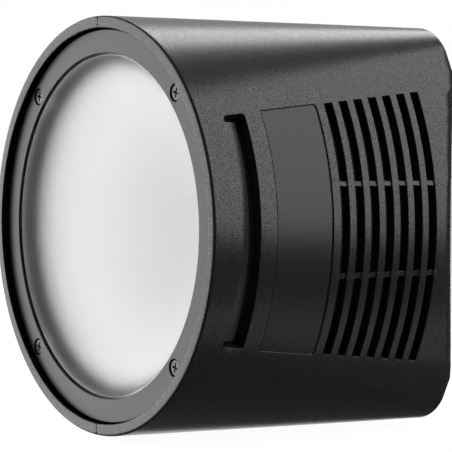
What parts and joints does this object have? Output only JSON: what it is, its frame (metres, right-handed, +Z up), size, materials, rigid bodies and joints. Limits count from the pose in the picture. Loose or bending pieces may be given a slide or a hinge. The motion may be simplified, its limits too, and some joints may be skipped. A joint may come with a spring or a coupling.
{
  "type": "round flash head",
  "caption": "Interchangeable round flash head of a pocket monolight strobe: frosted lens, vented two-shell casing, plug-in rear with release levers.",
  "frame": {"origin": "centre of the rear mating face, on the lens axis", "axes": "-Y is the way the light leaves, +Y points into the power body, +Z is up, +X is the side that carries the label"},
  "size_m": [0.076, 0.061, 0.076],
  "materials": {
    "casing_plastic": "fine-grained moulded black plastic",
    "bezel_plastic": "satin dark grey moulded plastic",
    "bezel_screw_steel": "blackened steel",
    "magnet_metal": "nickel plated magnets",
    "frosted_glass": "frosted, diffusing front lens",
    "gasket_rubber": "soft black silicone",
    "chamber_plastic": "matte black high-temperature plastic",
    "reflector_metal": "bright rolled aluminium",
    "tube_glass": "clear quartz glass",
    "electrode_metal": "sintered tungsten electrodes",
    "ceramic": "white steatite ceramic",
    "screw_steel": "zinc plated steel",
    "trigger_wire": "bare nickel-copper wire",
    "silicone_wire": "natural silicone sleeve",
    "power_wire": "red silicone sleeve",
    "coil_resin": "potted black resin",
    "board_laminate": "green solder mask",
    "component_plastic": "moulded component bodies",
    "sensor_resin": "dipped epoxy bead",
    "insulation_card": "matte black insulating sheet",
    "plate_plastic": "moulded black plastic",
    "connector_plastic": "glass-filled black plastic",
    "contact_gold": "gold plated brass",
    "lever_plastic": "black acetal",
    "pin_steel": "ground stainless pin",
    "spring_steel": "spring wire",
    "label_film": "blank satin film label"
  },
  "bodies": {
    "head": {"housing_right": "casing_plastic", "housing_left": "casing_plastic", "front_bezel": "bezel_plastic", "bezel_screws": "bezel_screw_steel", "accessory_magnets": "magnet_metal", "front_lens": "frosted_glass", "lens_gasket": "gasket_rubber", "lens_barrel": "chamber_plastic", "reflector": "reflector_metal", "flash_tube": "tube_glass", "tube_electrodes": "electrode_metal", "tube_holder": "ceramic", "holder_screws": "screw_steel", "board_screws": "screw_steel", "rear_plate_screws": "screw_steel", "trigger_band": "trigger_wire", "trigger_lead": "silicone_wire", "power_leads": "power_wire", "trigger_coil": "coil_resin", "circuit_board": "board_laminate", "board_parts": "component_plastic", "thermal_sensor": "sensor_resin", "insulation_right": "insulation_card", "insulation_left": "insulation_card", "rear_plate": "plate_plastic", "connector_block": "connector_plastic", "power_pins": "contact_gold", "signal_pins": "contact_gold", "upper_pivot_pin": "pin_steel", "lower_pivot_pin": "pin_steel", "upper_return_spring": "spring_steel", "lower_return_spring": "spring_steel", "info_label": "label_film"},
    "upper_lever": {"upper_release_lever": "lever_plastic"},
    "lower_lever": {"lower_release_lever": "lever_plastic"}
  },
  "joints": [
    {"name": "upper_release", "type": "hinge", "parent": "head", "child": "upper_lever", "pos_m": [0, -0.0074, 0.033], "axis": [1, 0, 0], "range_deg": [0, 9], "stiffness_Nm_per_rad": 0.04, "springref_deg": -6.88, "deforming": ["upper_return_spring"]},
    {"name": "lower_release", "type": "hinge", "parent": "head", "child": "lower_lever", "pos_m": [0, -0.0074, -0.033], "axis": [-1, 0, 0], "range_deg": [0, 9], "stiffness_Nm_per_rad": 0.04, "springref_deg": -6.88, "deforming": ["lower_return_spring"]}
  ]
}
